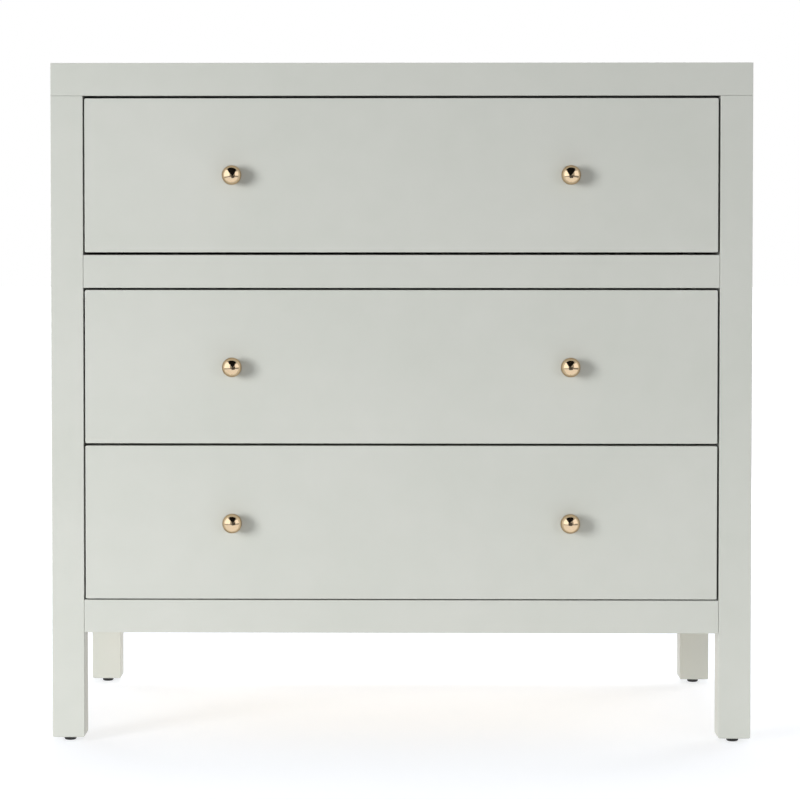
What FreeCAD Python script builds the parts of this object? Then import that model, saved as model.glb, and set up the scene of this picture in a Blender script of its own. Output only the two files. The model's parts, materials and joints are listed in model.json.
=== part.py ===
import FreeCAD, Part
import itertools
import math
import os

# Chest of three drawers in painted wood, standing on four square legs.
# A thick top lies flush on the legs. A bottom rail runs round the case between the legs, and a
# divider rail parts the top drawer from the two below it. The drawer fronts are inset, flush with
# the frame. Each front has two ball knobs. Each drawer is a dovetailed box that runs on a pair of
# three-piece ball-bearing slides, screwed to battens inside the case.
# Millimetres. +X is to the right seen from the front, -Y is the front, +Z is up.
# The origin is on the floor, at the centre of the overall footprint, knobs included.

Vector = FreeCAD.Vector
same_place = 1e-6

# Case frame
overall_width = 914.0
case_depth = 508.0
leg_width = 42.0
floor_clearance = 138.5
top_thickness = 43.0
rail_height = 43.0
front_rail_depth = 32.0
edge_radius = 1.2

# Case panels, which sit in grooves
side_panel_thickness = 12.0
side_panel_recess = 8.0
side_panel_tongue = 8.0
back_panel_thickness = 5.0
back_panel_recess = 5.0
back_panel_tongue = 8.0
rear_rail_thickness = 18.0
rear_top_rail_height = 60.0
dust_panel_thickness = 5.0
dust_panel_height = 12.0
dust_panel_tongue = 6.0
dust_panel_corner_clearance = 0.5
top_cleat_height = 20.0
stretcher_height = 20.0
stretcher_clearance = 1.0

# Drawer fronts and the gaps round them. The gaps differ a little, as they do in the photo.
drawer_front_height = 201.0
drawer_front_thickness = 20.0
gap_below_top = 2.8
gap_above_divider = 3.1
gap_below_divider = 2.5
gap_between_drawers = 2.5
gap_above_bottom_rail = 1.6
gap_beside_drawers = 2.2

# Drawer boxes
box_height = 150.0
box_lift = 16.0
box_board_thickness = 12.0
box_rear_clearance = 6.0
box_bottom_thickness = 6.0
box_bottom_height = 12.0
box_bottom_tongue = 6.0
tail_count = 4
pin_width = 9.0
tail_slope = 1.0 / 7.0

# Ball knobs, which stand on a short flared neck
knob_spacing = 440.0
knob_ball_diameter = 25.4
knob_projection = 29.0
knob_base_diameter = 14.0
knob_neck_diameter = 9.0

# Glides under the legs
glide_height = 6.0
glide_diameter = 16.0
glide_edge_taper = 1.6

# Slides: rolled steel strip, two rows of large balls outside and two of small balls inside
slide_height = 44.8
slide_strip = 1.1
slide_bend_radius = 1.5
slide_end_margin = 2.0
slide_centre_above_box = 60.0
outer_ball_radius = 1.9
inner_ball_radius = 1.6
ball_clearance = 0.1
screw_head_room = 1.9
lip_clearance = 1.4
stage_angle = 60.0
outer_lip_angle = 15.0
middle_lip_angle = 35.0
inner_lip_angle = 82.0
inner_groove_turn = 38.0
groove_return_radius = 1.5
widest_flat = 30.0
batten_height = 60.0

# Ball cages
cage_strip = 0.5
cage_gap = 0.3
cage_length = 200.0
balls_in_row = 3
cage_end_margin = 14.0
pocket_clearance = 0.2

# Levels, from the floor up
z_leg_bottom = glide_height
z_bottom_rail = z_leg_bottom + floor_clearance
z_bottom_drawer = z_bottom_rail + rail_height + gap_above_bottom_rail
z_middle_drawer = z_bottom_drawer + drawer_front_height + gap_between_drawers
z_divider_rail = z_middle_drawer + drawer_front_height + gap_below_divider
z_top_drawer = z_divider_rail + rail_height + gap_above_divider
z_top = z_top_drawer + drawer_front_height + gap_below_top
overall_height = z_top + top_thickness
drawer_levels = {"top": z_top_drawer, "middle": z_middle_drawer, "bottom": z_bottom_drawer}

# Distances from the middle of the case, left and right alike
x_outer = overall_width / 2
x_inner = x_outer - leg_width
x_panel_inner = x_outer - side_panel_recess - side_panel_thickness

# Distances from front to back
y_front = (knob_projection - case_depth) / 2
y_rear = y_front + case_depth
y_leg_back = y_front + leg_width
y_rear_leg = y_rear - leg_width
y_front_rail_back = y_front + front_rail_depth
y_panel_rear = y_rear - back_panel_recess
y_panel_front = y_panel_rear - back_panel_thickness
y_rear_rail = y_panel_front - rear_rail_thickness
y_box_front = y_front + drawer_front_thickness
y_box_rear = y_rear_rail - box_rear_clearance
y_slide = y_box_front + slide_end_margin
slide_length = y_box_rear - slide_end_margin - y_slide
y_cage = y_slide + (slide_length - cage_length) / 2

# Slide section: u runs from the case wall to the drawer, v up and down from the slide's middle.
# The large balls lie between the case member and the middle member, the small ones between the
# middle member and the drawer member. A race is wider than its ball by the ball clearance.
outer_race = outer_ball_radius + ball_clearance + slide_strip / 2
inner_race = inner_ball_radius + ball_clearance + slide_strip / 2
stage_distance = outer_race + inner_race
u_middle_web = slide_strip + screw_head_room + slide_strip / 2
u_inner_ball = u_middle_web + inner_race
u_outer_ball = u_inner_ball + stage_distance * math.cos(math.radians(stage_angle))
slide_gap = u_outer_ball + outer_race + slide_strip / 2 + lip_clearance
v_outer_ball = slide_height / 2 - slide_strip / 2 - outer_race
v_inner_ball = v_outer_ball - stage_distance * math.sin(math.radians(stage_angle))
x_box = x_inner - slide_gap


def block(x0, x1, y0, y1, z0, z1):
    """A board between two corners."""
    return Part.makeBox(x1 - x0, y1 - y0, z1 - z0, Vector(x0, y0, z0))


def mirrored(shape):
    """The same piece on the other side of the case."""
    return shape.mirror(Vector(0, 0, 0), Vector(1, 0, 0))


def raised(shape, z):
    """A copy of a piece, moved up by z."""
    copy = shape.copy()
    copy.translate(Vector(0, 0, z))
    return copy


def both_sides(shape):
    """A left piece and its mirrored right one, as one group of solids."""
    return Part.makeCompound([shape, mirrored(shape)])


def edges_on(shape, axis, value):
    """The edges that lie wholly in the plane where one coordinate has a value."""
    found = []
    for edge in shape.Edges:
        places = [getattr(vertex.Point, axis) for vertex in edge.Vertexes]
        if all(abs(place - value) < same_place for place in places):
            found.append(edge)
    return found


def runs_along(edge, direction):
    """Whether an edge between two corners of a box is parallel to a direction."""
    run = edge.Vertexes[1].Point - edge.Vertexes[0].Point
    return abs(abs(run.normalize().dot(direction)) - 1) < same_place


def rail(x0, x1, y0, y1, z0, axis, face):
    """A rail that is rounded over at the two long edges of its outer face, where axis is face."""
    board = block(x0, x1, y0, y1, z0, z0 + rail_height)
    upright = Vector(0, 0, 1)
    picked = [edge for edge in edges_on(board, axis, face) if not runs_along(edge, upright)]
    return board.makeFillet(edge_radius, picked)


def leg(x, y):
    """A square leg with rounded corners, its low left front corner at x, y."""
    post = block(x, x + leg_width, y, y + leg_width, z_leg_bottom, z_top)
    upright = Vector(0, 0, 1)
    return post.makeFillet(edge_radius, [edge for edge in post.Edges if runs_along(edge, upright)])


def glide(x, y):
    """A round glide with a tapered rim, under a leg's middle."""
    radius = glide_diameter / 2
    outline = [
        Vector(0, 0, 0),
        Vector(radius - glide_edge_taper, 0, 0),
        Vector(radius, 0, glide_edge_taper),
        Vector(radius, 0, glide_height),
        Vector(0, 0, glide_height),
        Vector(0, 0, 0),
    ]
    turned = Part.Face(Part.makePolygon(outline)).revolve(Vector(0, 0, 0), Vector(0, 0, 1), 360)
    turned.translate(Vector(x + leg_width / 2, y + leg_width / 2, 0))
    return turned


def dovetails(x0, y_root, y_tip, z0):
    """The tails at one end of a drawer side, flaring from their roots to their tips."""
    pitch = box_height / tail_count
    half_tip = (pitch - pin_width) / 2
    half_root = half_tip - abs(y_tip - y_root) * tail_slope
    tails = []
    for n in range(tail_count):
        z = z0 + (n + 0.5) * pitch
        corners = [
            Vector(x0, y_root, z - half_root),
            Vector(x0, y_tip, z - half_tip),
            Vector(x0, y_tip, z + half_tip),
            Vector(x0, y_root, z + half_root),
            Vector(x0, y_root, z - half_root),
        ]
        face = Part.Face(Part.makePolygon(corners))
        tails.append(face.extrude(Vector(box_board_thickness, 0, 0)))
    return tails


def drawer_box(z_front):
    """The five boards of a drawer box: two sides with tails, front and back with pins, bottom."""
    z0 = z_front + box_lift
    z1 = z0 + box_height
    y_in = y_box_front + box_board_thickness
    y_out = y_box_rear - box_board_thickness
    x_in = x_box - box_board_thickness
    z_bottom = z0 + box_bottom_height
    bottom = block(
        -x_in - box_bottom_tongue,
        x_in + box_bottom_tongue,
        y_in - box_bottom_tongue,
        y_out + box_bottom_tongue,
        z_bottom,
        z_bottom + box_bottom_thickness,
    )
    front_tails = dovetails(-x_box, y_in, y_box_front, z0)
    back_tails = dovetails(-x_box, y_out, y_box_rear, z0)
    side = block(-x_box, -x_in, y_in, y_out, z0, z1)
    side = side.fuse(front_tails + back_tails).removeSplitter().cut(bottom)
    front = block(-x_box, x_box, y_box_front, y_in, z0, z1)
    front = front.cut(front_tails + [mirrored(tail) for tail in front_tails])
    back = block(-x_box, x_box, y_out, y_box_rear, z0, z1)
    back = back.cut(back_tails + [mirrored(tail) for tail in back_tails])
    return {
        "box_front": front.cut(bottom),
        "left_side": side,
        "right_side": mirrored(side),
        "back": back.cut(bottom),
        "bottom": bottom,
    }


def knob_places(z_front):
    """The two points on a drawer's front face where its knobs stand."""
    z = z_front + drawer_front_height / 2
    return [Vector(-knob_spacing / 2, y_front, z), Vector(knob_spacing / 2, y_front, z)]


def drawer_front(z_front):
    """The painted front board, with the rim of its face rounded over."""
    x = x_inner - gap_beside_drawers
    board = block(-x, x, y_front, y_box_front, z_front, z_front + drawer_front_height)
    return board.makeFillet(edge_radius, edges_on(board, "y", y_front))


def knob():
    """A ball knob on a flared neck, standing out along -Y from the origin."""
    ball_radius = knob_ball_diameter / 2
    neck_radius = knob_neck_diameter / 2
    ball_centre = knob_projection - ball_radius
    neck_end = ball_centre - math.sqrt(ball_radius**2 - neck_radius**2)
    side_of_ball = Part.Arc(
        Vector(neck_radius, -neck_end, 0),
        Vector(ball_radius, -ball_centre, 0),
        Vector(0, -knob_projection, 0),
    )
    outline = [
        Part.makeLine(Vector(0, 0, 0), Vector(knob_base_diameter / 2, 0, 0)),
        Part.makeLine(Vector(knob_base_diameter / 2, 0, 0), Vector(neck_radius, -neck_end, 0)),
        side_of_ball.toShape(),
        Part.makeLine(Vector(0, -knob_projection, 0), Vector(0, 0, 0)),
    ]
    return Part.Face(Part.Wire(outline)).revolve(Vector(0, 0, 0), Vector(0, 1, 0), 360)


def placed(shape, places):
    """Copies of a piece at several points, as one group of solids."""
    copies = []
    for place in places:
        copy = shape.copy()
        copy.translate(place)
        copies.append(copy)
    return Part.makeCompound(copies)


def strip(start, heading, steps):
    """A rolled strip as long as the slide, on the left side of the case. Its middle line starts at
    (u, v) with a heading in degrees. Each step is a straight run, or a bend of a radius and a turn,
    left positive, which is rolled as a few flats."""
    u, v = start
    angle = math.radians(heading)
    line = [(u, v, angle)]
    for step in steps:
        if len(step) == 1:
            line.append((u + step[0] * math.cos(angle), v + step[0] * math.sin(angle), angle))
        else:
            radius, turn = math.copysign(step[0], step[1]), math.radians(step[1])
            centre_u = u - radius * math.sin(angle)
            centre_v = v + radius * math.cos(angle)
            flats = math.ceil(abs(step[1]) / widest_flat)
            for n in range(1, flats + 1):
                a = angle + turn * n / flats
                line.append((centre_u + radius * math.sin(a), centre_v - radius * math.cos(a), a))
        u, v, angle = line[-1]
    half = slide_strip / 2
    left = [(u - half * math.sin(a), v + half * math.cos(a)) for u, v, a in line]
    right = [(u + half * math.sin(a), v - half * math.cos(a)) for u, v, a in line]
    outline = [Vector(-x_inner + u, y_slide, v) for u, v in left + right[::-1] + left[:1]]
    return Part.Face(Part.makePolygon(outline)).extrude(Vector(0, slide_length, 0))


def symmetric(half, web):
    """The steps of a section that is the same above and below its web."""
    return half + [(web,)] + half[::-1]


def on_circle(centre, radius, degrees):
    """A point of a circle in the slide's section."""
    angle = math.radians(degrees)
    return (centre[0] + radius * math.cos(angle), centre[1] + radius * math.sin(angle))


def case_member():
    """The slide's outer channel: a web on the case, flat flanges and lips that curl round the balls."""
    flange = u_outer_ball - slide_strip / 2 - slide_bend_radius
    web = slide_height - slide_strip - 2 * slide_bend_radius
    half = [(outer_race, 90 + outer_lip_angle), (flange,), (slide_bend_radius, 90)]
    start = on_circle((u_outer_ball, v_outer_ball), outer_race, -outer_lip_angle)
    return strip(start, 90 - outer_lip_angle, symmetric(half, web))


def middle_member():
    """The slide's middle channel: grooves under the large balls, caps over the small ones."""
    groove_turn = 180 - stage_angle - middle_lip_angle
    half = [(outer_race, -groove_turn), (inner_race, 180 - stage_angle)]
    start = on_circle((u_outer_ball, v_outer_ball), outer_race, -middle_lip_angle)
    return strip(start, -middle_lip_angle - 90, symmetric(half, 2 * v_inner_ball))


def drawer_member():
    """The slide's inner channel: a web on the drawer and flanges that end in grooves for the balls."""
    lip = -180 + inner_lip_angle
    rise = lip + inner_groove_turn + 90
    lean = math.radians(rise)
    centre = (u_inner_ball, v_inner_ball)
    groove_end = on_circle(centre, inner_race, lip + inner_groove_turn)
    u_flange = groove_end[0] + groove_return_radius * math.sin(lean)
    v_flange = groove_end[1] + groove_return_radius * (1 - math.cos(lean))
    flange = slide_gap - slide_strip / 2 - slide_bend_radius - u_flange
    half = [
        (inner_race, inner_groove_turn), (groove_return_radius, -rise), (flange,), (slide_bend_radius, -90),
    ]
    steps = symmetric(half, 2 * (v_flange - slide_bend_radius))
    return strip(on_circle(centre, inner_race, lip), lip + 90, steps)


def faceted_ball(radius):
    """A bearing ball with twenty flat faces, its corners on the true ball."""
    golden = (1 + math.sqrt(5)) / 2
    corners = []
    for a, b in itertools.product((-1, 1), (-golden, golden)):
        corners += [Vector(0, a, b), Vector(a, b, 0), Vector(b, 0, a)]
    corners = [corner.normalize() * radius for corner in corners]
    side = min((corners[0] - other).Length for other in corners[1:])
    faces = []
    for three in itertools.combinations(corners, 3):
        if all((p - q).Length < side + same_place for p, q in itertools.combinations(three, 2)):
            faces.append(Part.Face(Part.makePolygon(list(three) + [three[0]])))
    return Part.makeSolid(Part.makeShell(faces))


def cage_with_balls(cage, u, v, radius):
    """A cage with a pocket and a ball at each place of its upper and lower rows, left and right."""
    pitch = (cage_length - 2 * cage_end_margin) / (balls_in_row - 1)
    ball = faceted_ball(radius)
    half = radius + pocket_clearance
    pockets, balls = [], []
    for n, row in itertools.product(range(balls_in_row), (-v, v)):
        place = Vector(-x_inner + u, y_cage + cage_end_margin + n * pitch, row)
        pockets.append(block(
            place.x - half, place.x + half, place.y - half, place.y + half, place.z - half, place.z + half,
        ))
        balls.append(placed(ball, [place]))
    left = Part.makeCompound([cage.cut(pockets)] + balls)
    return both_sides(left)


def outer_cages():
    """The cages of the large balls: channels whose flanges reach past the balls' middles."""
    u_back = u_middle_web - slide_strip / 2 - cage_gap
    u_lip = u_outer_ball + outer_ball_radius / 2
    x0, x1 = -x_inner + u_back - cage_strip, -x_inner + u_lip
    reach = v_outer_ball + cage_strip / 2
    inside = reach - cage_strip
    channel = block(x0, x1, y_cage, y_cage + cage_length, -reach, reach)
    hollow = block(x0 + cage_strip, x1, y_cage, y_cage + cage_length, -inside, inside)
    return cage_with_balls(channel.cut(hollow), u_outer_ball, v_outer_ball, outer_ball_radius)


def inner_cages():
    """The cages of the small balls: flat strips beside the middle member's web."""
    x0 = -x_inner + u_middle_web + slide_strip / 2 + cage_gap
    reach = v_inner_ball + cage_strip
    plate = block(x0, x0 + cage_strip, y_cage, y_cage + cage_length, -reach, reach)
    return cage_with_balls(plate, u_inner_ball, v_inner_ball, inner_ball_radius)


def side_frame():
    """The left side's panel, bottom rail and top cleat, between the front and the rear leg."""
    x_panel_outer = x_outer - side_panel_recess
    z_rail_top = z_bottom_rail + rail_height
    panel = block(
        -x_panel_outer, -x_panel_inner, y_leg_back - side_panel_tongue, y_rear_leg + side_panel_tongue,
        z_rail_top - side_panel_tongue, z_top,
    )
    bottom_rail = rail(-x_outer, -x_inner, y_leg_back, y_rear_leg, z_bottom_rail, "x", -x_outer)
    cleat = block(-x_panel_inner, -x_inner, y_leg_back, y_rear_leg, z_top - top_cleat_height, z_top)
    return panel, bottom_rail.cut([panel, dust_board()]), cleat


def battens():
    """The battens of the left side that carry the slides, one behind each drawer's slide."""
    batten = block(-x_panel_inner, -x_inner, y_leg_back, y_rear_leg, -batten_height / 2, batten_height / 2)
    return placed(batten, [Vector(0, 0, slide_level(z)) for z in drawer_levels.values()])


def case_parts():
    """Every fixed piece of the case, by name."""
    top = block(-x_outer, x_outer, y_front, y_rear, z_top, overall_height)
    panel, side_rail, cleat = side_frame()
    z_rail_top = z_bottom_rail + rail_height
    back_panel = block(
        -x_inner - back_panel_tongue, x_inner + back_panel_tongue, y_panel_front, y_panel_rear,
        z_bottom_rail, z_top,
    )
    posts = {
        "front_left_leg": leg(-x_outer, y_front),
        "front_right_leg": leg(x_inner, y_front),
        "rear_left_leg": leg(-x_outer, y_rear_leg),
        "rear_right_leg": leg(x_inner, y_rear_leg),
    }
    parts = {name: post.cut([panel, mirrored(panel), back_panel]) for name, post in posts.items()}
    front_rail = rail(-x_inner, x_inner, y_front, y_front_rail_back, z_bottom_rail, "y", y_front)
    rear_rail = block(-x_inner, x_inner, y_rear_rail, y_panel_front, z_bottom_rail, z_rail_top)
    parts.update({
        "top_panel": top.makeFillet(edge_radius, edges_on(top, "z", overall_height)),
        "left_side_panel": panel,
        "right_side_panel": mirrored(panel),
        "left_bottom_rail": side_rail,
        "right_bottom_rail": mirrored(side_rail),
        "top_cleats": both_sides(cleat),
        "left_slide_battens": battens(),
        "right_slide_battens": mirrored(battens()),
        "divider_rail": rail(-x_inner, x_inner, y_front, y_front_rail_back, z_divider_rail, "y", y_front),
        "front_bottom_rail": front_rail.cut(dust_board()),
        "rear_bottom_rail": rear_rail.cut(dust_board()),
        "front_stretcher": block(
            -x_inner, x_inner, y_box_front + stretcher_clearance, y_leg_back, z_top - stretcher_height, z_top,
        ),
        "rear_top_rail": block(
            -x_inner, x_inner, y_rear_rail, y_panel_front, z_top - rear_top_rail_height, z_top,
        ),
        "back_panel": back_panel,
        "dust_panel": dust_board(),
        "floor_glides": Part.makeCompound([
            glide(x, y) for x in (-x_outer, x_inner) for y in (y_front, y_rear_leg)
        ]),
    })
    return parts


def dust_board():
    """The thin board that closes the case below the bottom drawer, notched round the legs."""
    z0 = z_bottom_rail + dust_panel_height
    z1 = z0 + dust_panel_thickness
    x = x_inner + dust_panel_tongue
    y0 = y_front_rail_back - dust_panel_tongue
    y1 = y_rear_rail + dust_panel_tongue
    board = block(-x, x, y0, y1, z0, z1)
    notch_x = x_inner - dust_panel_corner_clearance
    y_notch_front = y_leg_back + dust_panel_corner_clearance
    y_notch_rear = y_rear_leg - dust_panel_corner_clearance
    notches = []
    for near, far in ((y0, y_notch_front), (y_notch_rear, y1)):
        notch = block(-x, -notch_x, near, far, z0, z1)
        notches += [notch, mirrored(notch)]
    return board.cut(notches)


def slide_level(z_front):
    """The height of the middle of a drawer's slides."""
    return z_front + box_lift + slide_centre_above_box


def drawer_parts(name, z_front, slides):
    """Every piece of one drawer and of the slides that it runs on, by name."""
    parts = {f"{name}_drawer_{piece}": shape for piece, shape in drawer_box(z_front).items()}
    parts[f"{name}_drawer_front"] = drawer_front(z_front)
    parts[f"{name}_drawer_knobs"] = placed(knob(), knob_places(z_front))
    for piece, shape in slides.items():
        parts[f"{name}_{piece}"] = raised(shape, slide_level(z_front))
    return parts


slides = {
    "slide_case_members": both_sides(case_member()),
    "slide_middle_members": both_sides(middle_member()),
    "slide_drawer_members": both_sides(drawer_member()),
    "slide_outer_cages": outer_cages(),
    "slide_inner_cages": inner_cages(),
}
dresser = case_parts()
for drawer, level in drawer_levels.items():
    dresser.update(drawer_parts(drawer, level, slides))

os.makedirs("parts", exist_ok=True)
for node, shape in dresser.items():
    shape.exportStep(f"parts/{node}.step")
print(f"{len(dresser)} nodes, {sum(len(shape.Solids) for shape in dresser.values())} solids")
print(f"overall {overall_width} x {case_depth + knob_projection} x {overall_height}")
print(f"slide length {slide_length}, slide gap {slide_gap:.3f}")
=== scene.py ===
# %% [markdown]
# # A dresser with three drawers, finished in Blender
#
# The CAD model gives every board, drawer and slide its exact size and place. This file builds
# what makes them look real round that fixed frame: eased and painted boards, turned brass knobs,
# screws, small fittings, and finishes for the wood, the steel and the plastic. Everything is in
# metres. The front faces -Y, and the floor is at z = 0.

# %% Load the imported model
import json
from math import asin, cos, degrees, pi, radians, sin, sqrt

import bmesh
import bpy
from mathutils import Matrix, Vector

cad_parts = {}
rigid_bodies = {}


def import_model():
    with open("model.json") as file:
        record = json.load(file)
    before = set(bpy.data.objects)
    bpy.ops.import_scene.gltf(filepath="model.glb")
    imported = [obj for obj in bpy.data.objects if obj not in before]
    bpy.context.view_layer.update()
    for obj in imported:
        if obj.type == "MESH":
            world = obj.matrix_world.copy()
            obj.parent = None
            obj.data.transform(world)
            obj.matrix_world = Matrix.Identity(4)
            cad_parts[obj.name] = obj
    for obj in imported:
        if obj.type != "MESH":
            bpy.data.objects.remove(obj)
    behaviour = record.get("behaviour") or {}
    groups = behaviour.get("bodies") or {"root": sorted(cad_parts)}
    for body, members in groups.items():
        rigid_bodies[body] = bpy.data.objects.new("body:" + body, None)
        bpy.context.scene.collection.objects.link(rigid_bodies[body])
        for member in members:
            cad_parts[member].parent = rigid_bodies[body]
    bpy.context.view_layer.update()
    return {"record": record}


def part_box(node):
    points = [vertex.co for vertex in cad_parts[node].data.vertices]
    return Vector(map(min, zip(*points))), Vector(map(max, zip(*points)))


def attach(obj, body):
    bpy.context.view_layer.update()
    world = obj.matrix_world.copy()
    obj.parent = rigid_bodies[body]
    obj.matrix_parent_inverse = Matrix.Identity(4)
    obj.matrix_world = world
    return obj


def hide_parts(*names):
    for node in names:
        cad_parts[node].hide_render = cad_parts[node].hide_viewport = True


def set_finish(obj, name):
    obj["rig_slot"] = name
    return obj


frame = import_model()
mm = 0.001
drawers = ("top", "middle", "bottom")

# %% [markdown]
# ## The camera
#
# The photograph looks at the front from about three and a half metres away and from two thirds of
# a metre above the floor, so the front is nearly undistorted and the rear legs show smaller
# between the front ones. A long lens at that distance gives the same perspective. It tilts down by
# less than two degrees and is shifted down and to the side, as on a view camera, which keeps the
# uprights nearly parallel. A turn of less than a degree gives the front its slight slant.

# %% Place the camera
tilt_down, turn_left = 1.836, 0.707
bpy.ops.object.camera_add(location=(-0.0107, -3.7184, 0.6658),
                          rotation=(radians(90 - tilt_down), 0, radians(turn_left)))
camera = bpy.context.object
camera.name = "camera"
camera.data.lens = 120.12
camera.data.shift_x, camera.data.shift_y = 0.05, -0.10
bpy.context.scene.camera = camera
bpy.context.scene.view_settings.view_transform = "Standard"
print("camera at", [round(c, 4) for c in camera.location])

# %% [markdown]
# ## Sums on sockets
#
# A finish in Blender is a net of nodes. Long chains of Math nodes are hard to read, so one small
# class wraps a socket and lets Python's own signs add the nodes: `1 - mask` becomes a Subtract
# node. A second class holds one net and adds every other kind of node.

# %% Wrap sockets and node nets
class Wire:
    """A socket of a node net that can be used in sums."""

    def __init__(self, net, socket):
        self.net, self.socket = net, socket

    def __add__(self, other): return self.net.maths("ADD", self, other)
    def __radd__(self, other): return self.net.maths("ADD", other, self)
    def __sub__(self, other): return self.net.maths("SUBTRACT", self, other)
    def __rsub__(self, other): return self.net.maths("SUBTRACT", other, self)
    def __mul__(self, other): return self.net.maths("MULTIPLY", self, other)
    def __rmul__(self, other): return self.net.maths("MULTIPLY", other, self)


class Net:
    """The nodes of one finish, of the floor or of the world."""

    def __init__(self, tree, name):
        self.tree, self.name = tree, name
        tree.nodes.clear()

    def node(self, kind, settings, sockets, output=0):
        """Adds a node, sets it, feeds its sockets, and returns one of its outputs."""
        node = self.tree.nodes.new("ShaderNode" + kind)
        for name, value in settings.items():
            if name == "stops":
                fill_ramp(node.color_ramp, value)
            else:
                setattr(node, name, value)
        for name, value in sockets.items():
            if isinstance(value, Wire):
                self.tree.links.new(value.socket, node.inputs[name])
            else:
                node.inputs[name].default_value = value
        return Wire(self, node.outputs[output]) if node.outputs else None

    def maths(self, operation, *values):
        """A Math node on numbers or wires."""
        return self.node("Math", {"operation": operation}, dict(enumerate(values)))

    def mixed(self, factor, low, high):
        """A colour between two colours, by a factor from 0 to 1."""
        return self.node("Mix", {"data_type": "RGBA"}, {0: factor, 6: low, 7: high}, output=2)


def fill_ramp(ramp, stops):
    """Sets a colour ramp from pairs of a place and a grey level."""
    while len(ramp.elements) < len(stops):
        ramp.elements.new(1)
    for element, (place, level) in zip(ramp.elements, stops):
        element.position = place
        element.color = (level, level, level, 1)


def tint(red, green, blue):
    """A colour as a paint card gives it, from 0 to 255, turned into Blender's linear values."""
    levels = [value / 255 for value in (red, green, blue)]
    return [v / 12.92 if v < 0.04045 else ((v + 0.055) / 1.055) ** 2.4 for v in levels] + [1]


# %% [markdown]
# ## The floor and the world
#
# The dresser stands on a white floor in a white room. To the camera the room shines white, so the
# picture's background is white, while the object itself is lit by the lamps, a weak even light and
# a painted glow of the floor close to it. The floor keeps the object's soft shadow near it, and
# turns wholly white further out, so that no horizon shows. Its shade is a little blue, because the
# birch under the case throws a warm light on it. For the light it throws back, the floor is pale
# close by and nearly black further out, which is a painted pool of light. Shiny metal sees a dimmer
# studio: a bright floor close by, a dark one further out, and a grey room above it. The polished
# knobs need that contrast to look like metal.

# %% Tell the rays apart
def for_rays(net, *names):
    """1 for the named kinds of rays, 0 for the others."""
    rays = [net.node("LightPath", {}, {}, output=f"Is {name} Ray") for name in names]
    return net.maths("MINIMUM", sum(rays[1:], rays[0]), 1.0)


def grey(level):
    """A neutral colour of a linear level."""
    return (level, level, level, 1)


def by_ray(net, lit, shiny, seen):
    """One shader for the rays that light, one for those off metal, one for those to the camera."""
    inner = net.node("MixShader", {}, {0: for_rays(net, "Glossy"), 1: lit, 2: shiny})
    to_camera = for_rays(net, "Camera", "Transmission")
    return net.node("MixShader", {}, {0: to_camera, 1: inner, 2: seen})


# %% Lay the floor
glow_level, floor_light, shade_tint = 0.66, 0.20, (0.475, 0.50, 0.55, 1)
near_bounce, far_bounce = tint(232, 232, 231), tint(70, 70, 70)
near_off_metal, far_off_metal = 0.95, 0.25


def further_out(net, distance, start, end):
    """0 near the object and 1 far from it, with a smooth change between two distances."""
    return net.node("MapRange", {"interpolation_type": "SMOOTHSTEP"},
                    {"Value": distance, "From Min": start, "From Max": end})


bpy.ops.object.select_all(action="DESELECT")
bpy.ops.mesh.primitive_plane_add(size=60)
floor = bpy.context.object
floor.name = "floor"
floor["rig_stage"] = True
floor.data.materials.append(bpy.data.materials.new("white_floor"))
floor.active_material.use_nodes = True
net = Net(floor.active_material.node_tree, floor.name)
place = net.node("TexCoord", {}, {}, output="Object")
distance = net.node("VectorMath", {"operation": "LENGTH"}, {0: place}, output=1)
far = further_out(net, distance, 0.9, 2.2)
glow = net.node("Emission", {}, {"Color": net.mixed(far, grey(glow_level), grey(1.0))})
shade = net.node("BsdfDiffuse", {}, {"Color": shade_tint})
shown = net.node("AddShader", {}, {0: glow, 1: shade})
# For the rays that light the object, the floor is pale near the dresser and dark further out: a
# painted pool of light.
painted_light_pool = net.node("BsdfDiffuse", {}, {"Color": net.mixed(far, near_bounce, far_bounce)})
# Near the dresser the floor also glows for those rays: painted light from below.
painted_floor_glow = net.mixed(far, grey(floor_light), grey(0.0))
bounce = net.node("AddShader", {}, {0: painted_light_pool, 1: net.node("Emission", {}, {"Color": painted_floor_glow})})
past_the_light = further_out(net, distance, 1.7, 2.3)
off_metal = net.mixed(past_the_light, grey(near_off_metal), grey(far_off_metal))
mirrored = net.node("Emission", {}, {"Color": off_metal})
net.node("OutputMaterial", {}, {"Surface": by_ray(net, bounce, mirrored, shown)})
print("floor laid, bounce near", round(near_bounce[0], 2), "and far", round(far_bounce[0], 2))

# %% Light the room evenly
even_light, room_off_metal, room_to_camera = 0.33, 0.45, 1.0
world = bpy.data.worlds.new("white_room")
bpy.context.scene.world = world
world.use_nodes = True
net = Net(world.node_tree, world.name)
lit, shiny, seen = [net.node("Background", {}, {"Color": grey(level)})
                    for level in (even_light, room_off_metal, room_to_camera)]
net.node("OutputWorld", {}, {"Surface": by_ray(net, lit, shiny, seen)})
print("even light", even_light)

# %% [markdown]
# ## The lamps
#
# Two softboxes stand before the dresser. The large one on the left gives the main light: the
# paint is brightest at the lower left, and each knob throws a soft shadow to its right. The small
# one on the right lifts the other side. One hangs over the top, and two stand behind for the back
# and the sides. Close to the dresser the floor glows a little, which is painted light that shines
# up on the rails and the legs.
#
# Photographers of metal also set up things that only the metal shows. A white card on each side
# gives the knobs their broad bright patches. A black cloth between the cards and a dark camera
# case below it give the dark shape that makes them read as polished brass.

# %% Hang the lamps
def towards(place, aim):
    """The turn that points a thing's underside from its place at its aim."""
    return (Vector(aim) - Vector(place)).to_track_quat("-Z", "Y").to_euler()


def softbox(name, place, aim, width, height, power):
    """A rectangular lamp that shines from its place towards its aim, unseen in shiny surfaces."""
    bpy.ops.object.light_add(type="AREA", location=place, rotation=towards(place, aim))
    lamp = bpy.context.object
    lamp.name = name
    lamp.visible_glossy = False
    lamp.data.shape = "RECTANGLE"
    lamp.data.size, lamp.data.size_y, lamp.data.energy = width, height, power
    print(name, [round(c, 2) for c in place], power, "W")


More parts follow.
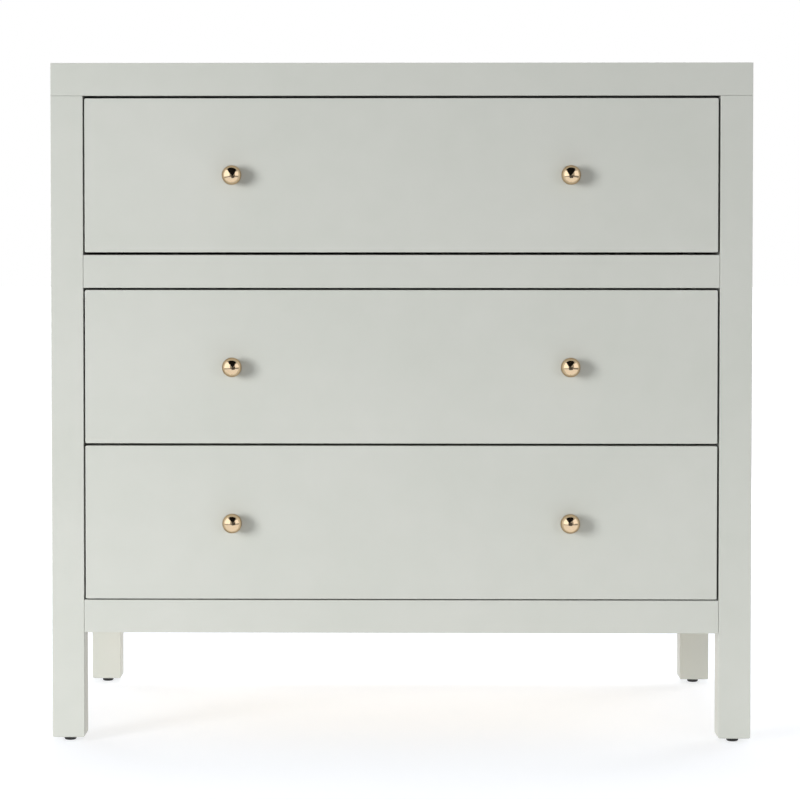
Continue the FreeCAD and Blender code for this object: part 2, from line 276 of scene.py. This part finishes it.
front_plane = -0.24
middle_of_front, middle_of_case, top_of_case = (0, front_plane, 0.45), (0, 0.2, 0.45), (0, 0.2, 0.9)
softbox("key_softbox", (-3.2, -3.4, 0.94), middle_of_front, 1.5, 1.8, 148)
softbox("fill_softbox", (1.5, -2.6, 0.60), middle_of_front, 0.9, 1.0, 8.6)
softbox("top_softbox", (0, 0.75, 2.7), top_of_case, 2.0, 1.4, 39)
softbox("rear_left_softbox", (-2.6, 2.4, 1.2), middle_of_case, 1.6, 1.4, 24)
softbox("rear_right_softbox", (2.6, 2.4, 1.2), middle_of_case, 1.6, 1.4, 36)

# %% Stand up the white cards
def only_in_metal(thing, level):
    """Leaves a thing to be seen in shiny surfaces alone, where it shines at a level."""
    thing.visible_camera = thing.visible_diffuse = False
    thing.visible_shadow = thing.visible_transmission = False
    thing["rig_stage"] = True
    thing.data.materials.append(bpy.data.materials.new(thing.name))
    thing.active_material.use_nodes = True
    net = Net(thing.active_material.node_tree, thing.name)
    net.node("OutputMaterial", {}, {"Surface": net.node("Emission", {}, {"Color": grey(level)})})


cards = (("white_card_left", (-2.10, -1.30, 1.70), 3.8, 3.0, 1.45),
         ("white_card_right", (2.15, -1.10, 1.50), 2.4, 2.1, 1.15))
for name, place, width, height, level in cards:
    bpy.ops.object.select_all(action="DESELECT")
    bpy.ops.mesh.primitive_plane_add(size=1, location=place,
                                     rotation=towards(place, (0, front_plane, place[2])))
    card = bpy.context.object
    card.name = name
    card.scale = (width, height, 1)
    only_in_metal(card, level)
    print(name, [round(s, 2) for s in card.scale], "level", level)

# %% Hang the black cloth
cloth_distance, cloth_foot, cloth_level = -1.20, 0.66, 0.008
foot_width = 0.28
cloth_steps = ((3.1, 0.0, 0.28), (3.4, 0.0, 1.26), (0.62, 1.8, 0.0))  # widen by, go back, go up
bpy.ops.object.select_all(action="DESELECT")
bpy.ops.mesh.primitive_plane_add(size=1, location=(0, cloth_distance, cloth_foot))
cloth = bpy.context.object
cloth.name = "black_cloth"
bpy.ops.object.transform_apply(location=True, rotation=True, scale=True)
bpy.ops.object.mode_set(mode="EDIT")
bpy.ops.mesh.select_mode(type="EDGE")
bpy.ops.mesh.select_all(action="DESELECT")
rim = bmesh.from_edit_mesh(cloth.data)
for edge in rim.edges:
    edge.select_set(all(v.co.y > cloth_distance for v in edge.verts))
bpy.ops.transform.translate(value=(0, -0.5, 0))
bpy.ops.transform.resize(value=(foot_width, 1, 1), center_override=(0, 0, 0))
for wider, back, up in cloth_steps:
    bpy.ops.mesh.extrude_region_move(TRANSFORM_OT_translate={"value": (0, back, up)})
    bpy.ops.transform.resize(value=(wider, 1, 1), center_override=(0, 0, 0))
bpy.ops.object.mode_set(mode="OBJECT")
print("cloth corners", [[round(c, 2) for c in v.co] for v in cloth.data.vertices])
only_in_metal(cloth, cloth_level)

# %% Put the camera case below it
case_width, case_height, case_level = 0.84, 0.66, 0.09
bpy.ops.object.select_all(action="DESELECT")
bpy.ops.mesh.primitive_plane_add(size=1, location=(0.20, cloth_distance, case_height / 2),
                                 rotation=(pi / 2, 0, 0))
camera_case = bpy.context.object
camera_case.name = "camera_case"
camera_case.scale = (case_width, case_height, 1)
only_in_metal(camera_case, case_level)
print("camera case", [round(s, 2) for s in camera_case.scale])

# %% [markdown]
# ## Painted boards
#
# The top, the legs, the rails and the drawer fronts are sawn square and then sanded, which takes
# the edge off every corner, and the sprayed lacquer rounds it a little more. Light catches on
# those narrow rounded edges, and the fine dark seams between the parts come from them. A cube of
# the right size gets a Bevel modifier that reads how much each edge is rounded from its bevel
# weight. Weighted normals then keep the wide faces flat and shade only the narrow edges.

# %% Round a board's edges
def start_block(name, low, high):
    """A cube stretched between two corners, ready to be shaped."""
    bpy.ops.object.select_all(action="DESELECT")
    middle, size = (low + high) / 2, high - low
    bpy.ops.mesh.primitive_cube_add(size=1, location=middle, scale=size)
    piece = bpy.context.object
    piece.name = piece.data.name = name
    bpy.ops.object.transform_apply(location=True, rotation=True, scale=True)
    return piece


def apply(piece, kind, **settings):
    """Adds one modifier to a piece and applies it."""
    bpy.ops.object.select_all(action="DESELECT")
    piece.select_set(True)
    bpy.context.view_layer.objects.active = piece
    modifier = piece.modifiers.new(kind, kind)
    for name, value in settings.items():
        setattr(modifier, name, value)
    bpy.ops.object.modifier_apply(modifier=modifier.name)


def smooth(piece, angle=40):
    """Smooths a piece over its rounded edges and keeps its flat faces flat."""
    bpy.ops.object.select_all(action="DESELECT")
    piece.select_set(True)
    bpy.context.view_layer.objects.active = piece
    bpy.ops.object.shade_smooth_by_angle(angle=radians(angle))
    apply(piece, "WEIGHTED_NORMAL", keep_sharp=True)


def round_edges(piece, low, high, radius_of, steps=4):
    """Rounds a block's edges. radius_of gives an edge's radius from its two ends, which it gets
    as 0 or 1 along each axis."""
    bpy.ops.object.mode_set(mode="EDIT")
    bpy.ops.mesh.select_mode(type="EDGE")
    mesh = bmesh.from_edit_mesh(piece.data)
    groups = {}
    for edge in mesh.edges:
        ends = [Vector([round((v.co[i] - low[i]) / (high[i] - low[i])) for i in range(3)])
                for v in edge.verts]
        groups.setdefault(radius_of(*ends), []).append(edge.index)
    widest = max(groups)
    for radius, picked in groups.items():
        bpy.ops.mesh.select_all(action="DESELECT")
        mesh = bmesh.from_edit_mesh(piece.data)
        mesh.edges.ensure_lookup_table()
        for index in picked:
            mesh.edges[index].select_set(True)
        bmesh.update_edit_mesh(piece.data)
        bpy.ops.transform.edge_bevelweight(value=radius / widest)
    bpy.ops.object.mode_set(mode="OBJECT")
    apply(piece, "BEVEL", width=widest, segments=steps, limit_method="WEIGHT")


def belongs(piece, body, slot, *nodes):
    """The piece moves with a body, takes its finish from a slot, and stands for CAD nodes."""
    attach(piece, body)
    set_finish(piece, slot)
    if nodes:
        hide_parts(*nodes)


soft_edge = 0.7 * mm
fine_edge = 0.3 * mm
print("edges rounded by", round(soft_edge / mm, 1), "or", round(fine_edge / mm, 1), "mm")

# %% [markdown]
# ## The top
#
# The top is a slab that ends flush with the legs. Its upper edges and its corners are the ones
# that hands and cloths touch, so they are rounded most. The lower edge is only just broken, and
# the slab stands a quarter of a millimetre off the legs, which shows as a thin line.

# %% Make the top
seam = 0.25 * mm
low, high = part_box("top_panel")
low.z += seam
top_slab = start_block("top_slab", low, high)
round_edges(top_slab, low, high, lambda a, b: fine_edge if a.z + b.z == 0 else soft_edge)
smooth(top_slab)
belongs(top_slab, "case", "sage_paint", "top_panel")
print("top", [round(s / mm) for s in high - low], "mm")

# %% [markdown]
# ## The legs
#
# Each leg is a square post. Its foot is chamfered all round, so that it doesn't splinter when the
# dresser is pushed over the floor. One leg is made and copied to the other three places. The
# panels of the sides and the back sit in grooves, which are cut with the panels' own shapes.

# %% Make one leg
foot_edge = 2.4 * mm


def leg_edge(a, b):
    """Round at the foot, fine under the top, and soft up the corners."""
    if a.z != b.z:
        return soft_edge
    return foot_edge if a.z == 0 else fine_edge


first_low, first_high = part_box("front_left_leg")
first_leg = start_block("leg", first_low, first_high)
round_edges(first_leg, first_low, first_high, leg_edge, steps=5)
print("one leg", [round(s / mm, 1) for s in first_high - first_low], "mm")

# %% Copy it and cut the grooves
def copied(piece, name, move):
    """A copy with its own mesh, moved in its mesh, so that its object stays at the origin."""
    twin = piece.copy()
    twin.data = piece.data.copy()
    twin.name = twin.data.name = name
    bpy.context.scene.collection.objects.link(twin)
    bpy.ops.object.select_all(action="DESELECT")
    twin.select_set(True)
    bpy.context.view_layer.objects.active = twin
    twin.location = move
    bpy.ops.object.transform_apply(location=True, rotation=False, scale=False)
    return twin


def groove(piece, node):
    """Cuts the room of a CAD board out of a piece."""
    low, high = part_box(node)
    cutter = start_block("cutter", low, high)
    apply(piece, "BOOLEAN", operation="DIFFERENCE", solver="EXACT", object=cutter)
    bpy.data.objects.remove(cutter)


for end in ("front", "rear"):
    for side in ("left", "right"):
        node = f"{end}_{side}_leg"
        leg = copied(first_leg, f"leg_{end}_{side}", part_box(node)[0] - first_low)
        groove(leg, f"{side}_side_panel")
        if end == "rear":
            groove(leg, "back_panel")
        smooth(leg)
        belongs(leg, "case", "sage_paint", node)
        print(leg.name, len(leg.data.polygons), "faces")
bpy.data.objects.remove(first_leg)

# %% [markdown]
# ## The rails of the front
#
# The divider rail and the bottom rail end against the legs with a glued joint. The paint fills
# most of it and leaves a hair line, wider at the right end, so both rails are cut a hair short and
# their ends are only just broken.

# %% Make the front rails
hair, wide_hair = 0.3 * mm, 0.5 * mm
front_rails = {"rail_between_drawers": "divider_rail", "rail_below_drawers": "front_bottom_rail"}


def rail_edge(a, b):
    """Soft along the face, and fine at the ends and at the back."""
    return soft_edge if a.x != b.x and a.y + b.y == 0 else fine_edge


for name, node in front_rails.items():
    low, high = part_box(node)
    low.x, high.x = low.x + hair, high.x - wide_hair
    rail = start_block(name, low, high)
    round_edges(rail, low, high, rail_edge)
    if node == "front_bottom_rail":
        groove(rail, "dust_panel")
    smooth(rail)
    belongs(rail, "case", "sage_paint", node)
    print(rail.name, [round(s / mm, 1) for s in high - low], "mm")

# %% [markdown]
# ## The drawer fronts
#
# The fronts are inset: they lie flush between the rails with a dark gap all round. The rim of the
# face and its four corners are sanded softest here, because every shadow line of the dresser runs
# along them. Sanding also takes a little off the board's size, most at its right-hand edge.

# %% Make the drawer fronts
front_rim = 0.6 * mm
front_corner = 2.2 * mm
sanded, sanded_right = 0.3 * mm, 0.5 * mm


def front_edge(a, b):
    """Softest at the four corners, soft round the face, fine at the back."""
    if a.y != b.y:
        return front_corner
    return front_rim if a.y == 0 else fine_edge


for drawer in drawers:
    low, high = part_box(f"{drawer}_drawer_front")
    if drawer != "bottom":
        low.z += sanded
    high.x, high.z = high.x - sanded_right, high.z - sanded
    board = start_block(f"{drawer}_front_board", low, high)
    round_edges(board, low, high, front_edge, steps=5)
    smooth(board)
    belongs(board, f"{drawer}_drawer", "sage_paint", f"{drawer}_drawer_front")
    print(board.name, [round(s / mm, 1) for s in high - low], "mm")

# %% [markdown]
# ## The knobs
#
# A knob is turned from a solid brass bar: a small foot, a waist, and a ball. On a lathe only the
# outline is cut, and Spin does the same here. A single vertex is pulled along the outline and
# spun round the knob's axis. The ball's outline is worked out as an arc, so it is truly round.

# %% Spin an outline
def turned(name, outline, centre, axis, steps=48):
    """A piece turned on a lathe. The outline is pairs of a distance from the axis and a height
    along it, from the centre."""
    axis = Vector(axis)
    outward = Vector((1, 0, 0)) if abs(axis.x) < 0.5 else Vector((0, 0, 1))
    points = [Vector(centre) + outward * r + axis * h for r, h in outline]
    bpy.ops.object.select_all(action="DESELECT")
    bpy.ops.mesh.primitive_plane_add(size=mm, location=points[0])
    piece = bpy.context.object
    piece.name = piece.data.name = name
    bpy.ops.object.transform_apply(location=True, rotation=True, scale=True)
    bpy.ops.object.mode_set(mode="EDIT")
    bpy.ops.mesh.select_mode(type="VERT")
    bpy.ops.mesh.merge(type="CENTER")
    for here, there in zip(points, points[1:]):
        bpy.ops.mesh.extrude_vertices_move(TRANSFORM_OT_translate={"value": there - here})
    bpy.ops.mesh.select_all(action="SELECT")
    bpy.ops.mesh.spin(steps=steps, angle=2 * pi, center=centre, axis=axis)
    bpy.ops.mesh.select_all(action="SELECT")
    bpy.ops.mesh.remove_doubles(threshold=0.005 * mm)
    bpy.ops.mesh.normals_make_consistent(inside=False)
    bpy.ops.object.mode_set(mode="OBJECT")
    return piece


def arc(centre, radius, start, end, steps):
    """Points on an arc of an outline, from a start to an end angle in degrees."""
    angles = [radians(start + (end - start) * n / steps) for n in range(steps + 1)]
    return [(centre[0] + radius * cos(a), centre[1] + radius * sin(a)) for a in angles]


# %% Draw the outline of a knob
ball_radius, ball_centre, waist_radius = 12.7, 16.3, 4.4
foot_radius, foot_height, foot_chamfer = 7.0, 1.2, 0.3
foot_face = foot_radius - foot_chamfer
waist_angle = -90 + degrees(asin(waist_radius / ball_radius))
waist_height = ball_centre - sqrt(ball_radius**2 - waist_radius**2)
cove_top = waist_height - 0.5
knob_outline = [(0, 0), (foot_face, 0), (foot_radius, foot_chamfer)]
knob_outline += [(foot_radius, foot_height - foot_chamfer), (foot_face, foot_height)]
knob_outline += arc((foot_face, cove_top), cove_top - foot_height, -90, -180, 7)[1:]
knob_outline += arc((0, ball_centre), ball_radius, waist_angle, 90, 34)
knob_outline = [(r * mm, h * mm) for r, h in knob_outline]
print("knob outline", len(knob_outline), "points, waist at", round(waist_height, 2), "mm")

# %% Turn the knobs
def joined(pieces, name):
    """Several pieces as one."""
    bpy.ops.object.select_all(action="DESELECT")
    for piece in pieces:
        piece.select_set(True)
    bpy.context.view_layer.objects.active = pieces[0]
    bpy.ops.object.join()
    pieces[0].name = pieces[0].data.name = name
    return pieces[0]


knob_spread = 220 * mm
knob_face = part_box("top_drawer_front")[0].y
knob_height = {d: sum(corner.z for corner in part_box(f"{d}_drawer_front")) / 2 for d in drawers}
first_knob = turned("knob", knob_outline, (0, knob_face, 0), (0, -1, 0))
smooth(first_knob, angle=50)
for drawer in drawers:
    pair = [copied(first_knob, "knob", (x, 0, knob_height[drawer]))
            for x in (-knob_spread, knob_spread)]
    knobs = joined(pair, f"{drawer}_brass_knobs")
    belongs(knobs, f"{drawer}_drawer", "knob_brass", f"{drawer}_drawer_knobs")
bpy.data.objects.remove(first_knob)
print("knobs", len(knobs.data.polygons), "faces a pair")

# %% [markdown]
# ## The glides
#
# Under each leg a round plastic glide keeps the end grain off the floor. It is a small dished
# disc, held by a nail whose head lies in the dish. Both are turned like the knobs.

# %% Turn the glides
# Both outlines are in millimetres, from the axis and from the floor.
glide_outline = [(0, 1.6), (3.2, 1.6), (3.8, 0.5), (4.6, 0.0), (6.4, 0.0), (7.3, 0.5), (7.9, 1.5),
                 (8.0, 2.2), (8.0, 4.7), (7.7, 5.0), (0, 5.0)]
nail_outline = [(0, 1.6), (2.6, 1.6), (2.6, 1.2), (2.1, 0.8), (1.2, 0.6), (0, 0.55)]
glide_places = []
for end in ("front", "rear"):
    for side in ("left", "right"):
        low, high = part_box(f"{end}_{side}_leg")
        glide_places.append((low + high) / 2)


def under_the_legs(name, outline):
    """A small turned piece under each leg, the four of them as one."""
    first = turned(name, [(r * mm, h * mm) for r, h in outline], (0, 0, 0), (0, 0, 1), steps=36)
    smooth(first, angle=35)
    four = joined([copied(first, name, (p.x, p.y, 0)) for p in glide_places], name)
    bpy.data.objects.remove(first)
    four.name = four.data.name = name
    print(name, len(four.data.polygons), "faces")
    return four


belongs(under_the_legs("glides", glide_outline), "case", "glide_plastic", "floor_glides")
belongs(under_the_legs("glide_nails", nail_outline), "case", "slide_steel")

# %% [markdown]
# ## The screws
#
# A machine screw holds each knob from inside its drawer, four wood screws hold each painted front
# on its box, and low screws hold the slides. All have the same domed head with a cross recess, at
# different sizes. The head is turned, and the cross is cut with two thin blocks. Where the blocks
# cross, the cuts leave doubled points, and a Weld modifier merges them.

# %% Make one screw head
dome = ((0, 0), (1, 0), (1, 0.35), (0.9, 0.68), (0.62, 0.93), (0.3, 1), (0, 1))
cross_reach, cross_width, cross_depth = 0.55, 0.13, 0.45


def screw_head(radius, height):
    """A domed head that stands along -Y on the origin, with a cross recess."""
    outline = [(radius * r, height * h) for r, h in dome]
    head = turned("screw", outline, (0, 0, 0), (0, -1, 0), steps=24)
    crown = Vector((0, -height, 0))
    for across, up in ((cross_reach, cross_width), (cross_width, cross_reach)):
        half = Vector((radius * across, height * cross_depth, radius * up))
        cutter = start_block("cutter", crown - half, crown + half)
        apply(head, "BOOLEAN", operation="DIFFERENCE", solver="EXACT", object=cutter)
        bpy.data.objects.remove(cutter)
    apply(head, "WELD", merge_threshold=0.002 * mm)
    smooth(head, angle=35)
    return head


def turned_round(piece, angle, axis):
    """Turns a piece at the origin and applies the turn."""
    bpy.ops.object.select_all(action="DESELECT")
    piece.select_set(True)
    bpy.context.view_layer.objects.active = piece
    piece.rotation_euler["XYZ".index(axis)] = radians(angle)
    bpy.ops.object.transform_apply(location=False, rotation=True, scale=False)
    return piece


def row_of(piece, name, places, body):
    """Copies of a screw at several places, joined, riding on a body."""
    row = joined([copied(piece, name, place) for place in places], name)
    belongs(row, body, "slide_steel")
    return row


# %% Set the screws inside the drawers
screw_spread, screw_rise = 340 * mm, 45 * mm
inside_head = turned_round(screw_head(4.2 * mm, 2.2 * mm), 180, "Z")
for drawer in drawers:
    low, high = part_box(f"{drawer}_drawer_box_front")
    middle = (low.z + high.z) / 2
    places = [(x, high.y, middle + rise)
              for x in (-screw_spread, screw_spread) for rise in (-screw_rise, screw_rise)]
    places += [(x, high.y, knob_height[drawer]) for x in (-knob_spread, knob_spread)]
    screws = row_of(inside_head, f"{drawer}_front_screws", places, f"{drawer}_drawer")
    print(screws.name, len(places), "screws")
bpy.data.objects.remove(inside_head)

# %% Set the screws of the slides
low_head = screw_head(3.6 * mm, 1.0 * mm)
drawer_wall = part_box("top_drawer_right_side")[1].x
facing_right = turned_round(copied(low_head, "right", (0, 0, 0)), 90, "Z")
facing_left = turned_round(copied(low_head, "left", (0, 0, 0)), -90, "Z")
towards_drawer = {-1: facing_right, 1: facing_left}
towards_case = {-1: facing_left, 1: facing_right}
strip = 1.1 * mm
screw_spots = (32 * mm, 160 * mm, 290 * mm, 418 * mm)
for drawer in drawers:
    for member, body in (("case", "case"), ("drawer", f"{drawer}_drawer")):
        low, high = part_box(f"{drawer}_slide_{member}_members")
        level = (low.z + high.z) / 2
        if member == "case":
            web, heads = high.x - strip, towards_drawer
        else:
            web, heads = drawer_wall + strip, towards_case
        screws = [copied(head, "screw", (side * web, low.y + spot, level))
                  for side, head in heads.items() for spot in screw_spots]
        belongs(joined(screws, f"{drawer}_slide_{member}_screws"), body, "slide_steel")
        print(f"{drawer}_slide_{member}_screws", len(screws), "screws")
for head in (low_head, facing_right, facing_left):
    bpy.data.objects.remove(head)

# %% [markdown]
# ## Small fittings
#
# Every slide has a black plastic lever in the channel of its drawer member. Pressed, it lets the
# drawer be lifted out. A black strip on the stretcher fills the gap above the top drawer. It is
# painted shade, a dark sheet that makes the gap look dark. The back panel is screwed to the rails.

# %% Fit the release levers
lever_start = 196 * mm
lever_arm = {"length": 66, "near": 0.2, "far": 3.2, "half": 4.5, "radius": 1.0}
lever_tab = {"length": 13, "near": 3.0, "far": 4.8, "half": 6.5, "radius": 0.8}
for drawer in drawers:
    low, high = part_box(f"{drawer}_slide_drawer_members")
    level, web = (low.z + high.z) / 2, drawer_wall + strip
    blocks = []
    for side in (-1, 1):
        for part in (lever_arm, lever_tab):
            across = sorted(side * (web + part[key] * mm) for key in ("near", "far"))
            start = low.y + lever_start
            corner = Vector((across[0], start, level - part["half"] * mm))
            other = Vector((across[1], start + part["length"] * mm, level + part["half"] * mm))
            block = start_block("lever", corner, other)
            round_edges(block, corner, other, lambda a, b: part["radius"] * mm, steps=3)
            smooth(block)
            blocks.append(block)
    belongs(joined(blocks, f"{drawer}_slide_levers"), f"{drawer}_drawer", "glide_plastic")
print("levers", len(drawers) * 2)

# %% Put the painted shade strip in the gap
# A black strip on the stretcher's front, behind the gap above the top drawer: painted shade that
# makes the gap look dark.
shade_strip_thickness, shade_strip_edge = 0.7 * mm, 0.2 * mm
low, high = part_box("front_stretcher")
shade_strip_low = Vector((low.x, low.y - shade_strip_thickness, low.z))
shade_strip_high = Vector((high.x, low.y, high.z))
shade_strip = start_block("felt_strip", shade_strip_low, shade_strip_high)
round_edges(shade_strip, shade_strip_low, shade_strip_high, lambda a, b: shade_strip_edge, steps=2)
smooth(shade_strip)
belongs(shade_strip, "case", "glide_plastic")
print("felt strip", [round(s / mm, 1) for s in shade_strip_high - shade_strip_low], "mm")

# %% Screw on the back
back_head = turned_round(screw_head(3.6 * mm, 1.0 * mm), 180, "Z")
back_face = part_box("back_panel")[1].y
back_rows = [sum(corner.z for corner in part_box(node)) / 2
             for node in ("rear_bottom_rail", "rear_top_rail")]
back_columns = [x * mm for x in (-380, -190, 0, 190, 380)]
places = [(x, back_face, z) for x in back_columns for z in back_rows]
row_of(back_head, "back_screws", places, "case")
bpy.data.objects.remove(back_head)
print("back screws", len(places))

# %% [markdown]
# ## Sage paint
#
# The boards are sprayed with a satin lacquer in a pale grey green. Spraying leaves a very fine
# pebbled skin, and each coat dries a little unevenly, so the tone drifts by a percent or two over
# a hand's width and the shine drifts with it. All patterns are three-dimensional noise on the
# object's own coordinates, so they don't slide when a drawer moves.

# %% Prepare the mixing
def finish(name):
    """A new material, its net of nodes, and the place on the object."""
    material = bpy.data.materials.new(name)
    material.use_nodes = True
    net = Net(material.node_tree, name)
    return material, net, net.node("TexCoord", {}, {}, output="Object")


def noise(net, place, scale, detail=2.0, roughness=0.5, stretch=None):
    """Noise from 0 to 1, on average 0.5, with a number of waves a metre. stretch scales it along
    each axis."""
    if stretch:
        place = net.node("VectorMath", {"operation": "MULTIPLY"}, {0: place, 1: stretch})
    return net.node("TexNoise", {}, {
        "Vector": place, "Scale": scale, "Detail": detail, "Roughness": roughness})


def ramp(net, value, *stops):
    """A grey level that follows pairs of a place and a level."""
    return net.node("ValToRGB", {"stops": stops}, {"Fac": value})


def surface(net, height, distance, colour, roughness, uniform):
    """The Principled shader with a bump, on the net's output."""
    bump = net.node("Bump", {}, {"Height": height, "Distance": distance, "Strength": 1.0})
    shader = net.node("BsdfPrincipled", {}, {
        "Base Color": colour, "Roughness": roughness, "Normal": bump, **uniform})
    net.node("OutputMaterial", {}, {"Surface": shader})
    print(len(net.tree.nodes), "nodes in", net.name)


# %% Mix the paint
paint, net, place = finish("sage_paint")
drift = noise(net, place, 5.0, detail=3.0)
patches = noise(net, place, 28.0, detail=3.0)
pebbles = noise(net, place, 900.0, detail=1.0)
waves = noise(net, place, 120.0, detail=2.0)
tone = ramp(net, drift * 0.65 + patches * 0.35, (0.3, 0.0), (0.7, 1.0))
colour = net.mixed(tone, tint(203, 206, 199), tint(208, 210, 204))
shine = 0.36 + patches * 0.08 + pebbles * 0.04
surface(net, pebbles * 0.5 + waves * 0.5, 0.06 * mm, colour, shine,
        {"IOR": 1.47, "Coat Weight": 0.12, "Coat Roughness": 0.28})

# %% [markdown]
# ## Bare wood
#
# Inside, the drawer boxes, the cleats and the battens are pale birch with a clear finish. Real
# wood is a stack of growth rings round the middle of a trunk. The pattern is made the same way,
# as rings round a distant line along the board, bent by noise, so a board's face shows long
# cathedral curves and its end shows the rings cut across. The boards run two ways, so the wood
# is made twice, once with its grain along X and once along Y.

# %% Mix the wood
ring_width, bend = 0.014, (0.12, 0.12, 0.12)
middle_of_trunk = (0.11, 0.13, 0.17)


def birch(name, axis):
    """Pale wood whose grain runs along one axis."""
    material, net, place = finish(name)

    def along(slow):
        return [slow if a == axis else 1.0 for a in "XYZ"]

    def vector(operation, *values, output=0):
        return net.node("VectorMath", {"operation": operation}, dict(enumerate(values)), output)

    wander = net.node("TexNoise", {}, {
        "Vector": vector("MULTIPLY", place, along(0.22)),
        "Scale": 6.0, "Detail": 2.5, "Roughness": 0.45}, output="Color")
    shifted = vector("MULTIPLY_ADD", wander, bend, place)
    centred = vector("MULTIPLY_ADD", shifted, along(0.0), middle_of_trunk)
    radius = vector("LENGTH", centred, output=1)
    seasons = noise(net, place, 3.0, detail=2.0, stretch=along(0.1))
    rings = net.maths("SINE", radius * (2 * pi / ring_width) + seasons * 14.0) * 0.5 + 0.5
    late = ramp(net, rings, (0.0, 0.0), (0.55, 0.10), (0.88, 0.75), (1.0, 1.0))
    fibres = noise(net, place, 900.0, detail=3.0, roughness=0.65, stretch=along(0.02))
    specks = noise(net, place, 1500.0, detail=1.0, stretch=along(0.012))
    pores = ramp(net, specks, (0.62, 0.0), (0.74, 1.0))
    clouds = noise(net, place, 9.0, detail=2.0, stretch=along(0.3))
    pale = net.mixed(clouds, tint(235, 219, 190), tint(225, 204, 168))
    grained = net.mixed(late * (seasons * 0.7 + 0.08), pale, tint(200, 168, 124))
    fibred = net.mixed(fibres * 0.35, grained, tint(238, 224, 198))
    colour = net.mixed(pores * 0.28, fibred, tint(160, 130, 92))
    height = fibres * 0.6 - pores * 0.5 + late * 0.2
    shine = 0.46 + fibres * 0.10 - late * 0.05
    surface(net, height, 0.05 * mm, colour, shine, {"Coat Weight": 0.10, "Coat Roughness": 0.3})
    return material


wood_across = birch("birch_across", "X")
wood_deep = birch("birch_deep", "Y")

# %% [markdown]
# ## Metals and plastic
#
# The knobs are polished brass with a warm, slightly pink tone. Turning and polishing leave
# hair-fine marks, too fine to see one by one, which only soften the reflections here and there.
# The slides and the screws are cold-rolled steel with a bright zinc coat, which is duller and
# drifts from blue to grey, with faint lines along the strip. The glides and the release levers are
# black moulded plastic, and the strip in the gap above the top drawer takes the same black, as
# painted shade.

# %% Mix the brass
brass, net, place = finish("polished_brass")
cloudy = noise(net, place, 160.0, detail=3.0)
scratches = noise(net, place, 2600.0, detail=2.0, stretch=(1.0, 0.15, 0.3))
surface(net, scratches, 0.006 * mm, net.mixed(cloudy, tint(238, 214, 182), tint(232, 205, 170)),
        0.07 + cloudy * 0.06, {"Metallic": 1.0, "Specular Tint": tint(128, 100, 70)})

# %% Mix the zinc
zinc, net, place = finish("zinc_steel")
spangle = noise(net, place, 90.0, detail=4.0, roughness=0.6)
rolled = noise(net, place, 1800.0, detail=2.0, stretch=(1.0, 0.01, 1.0))
surface(net, rolled, 0.02 * mm, net.mixed(spangle, tint(196, 200, 206), tint(216, 216, 212)),
        0.24 + spangle * 0.14 + rolled * 0.08, {"Metallic": 1.0})

# %% Mix the plastic
plastic, net, place = finish("black_plastic")
moulded = noise(net, place, 1200.0, detail=2.0)
worn = noise(net, place, 300.0, detail=2.0)
surface(net, moulded, 0.03 * mm, net.mixed(worn, tint(18, 18, 19), tint(34, 34, 35)),
        0.42 + worn * 0.16, {"IOR": 1.5})

# %% [markdown]
# ## Give every piece its finish
#
# The new pieces and the CAD nodes that still show get their finish by their name. A node's mesh
# is never touched, only its material.

# %% Paint, varnish and plate
finish_of_slot = {"sage_paint": paint, "knob_brass": brass,
                  "slide_steel": zinc, "glide_plastic": plastic}
grain_along_y = ("_side", "battens", "cleats")
slot_of_node = {part["node"]: part["material_slot"] for part in frame["record"]["subparts"]}


def finish_for(thing):
    """The finish of a new piece or of a CAD node, from its slot and its name."""
    slot = thing.get("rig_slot") or slot_of_node[thing.name]
    if slot != "drawer_wood":
        return finish_of_slot[slot]
    return wood_deep if thing.name.endswith(grain_along_y) else wood_across


used = {}
for thing in bpy.context.scene.objects:
    if thing.type != "MESH" or thing.hide_render or thing.get("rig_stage"):
        continue
    thing.data.materials.clear()
    thing.data.materials.append(finish_for(thing))
    used.setdefault(thing.active_material.name, []).append(thing.name)
for name, things in used.items():
    print(name, len(things))
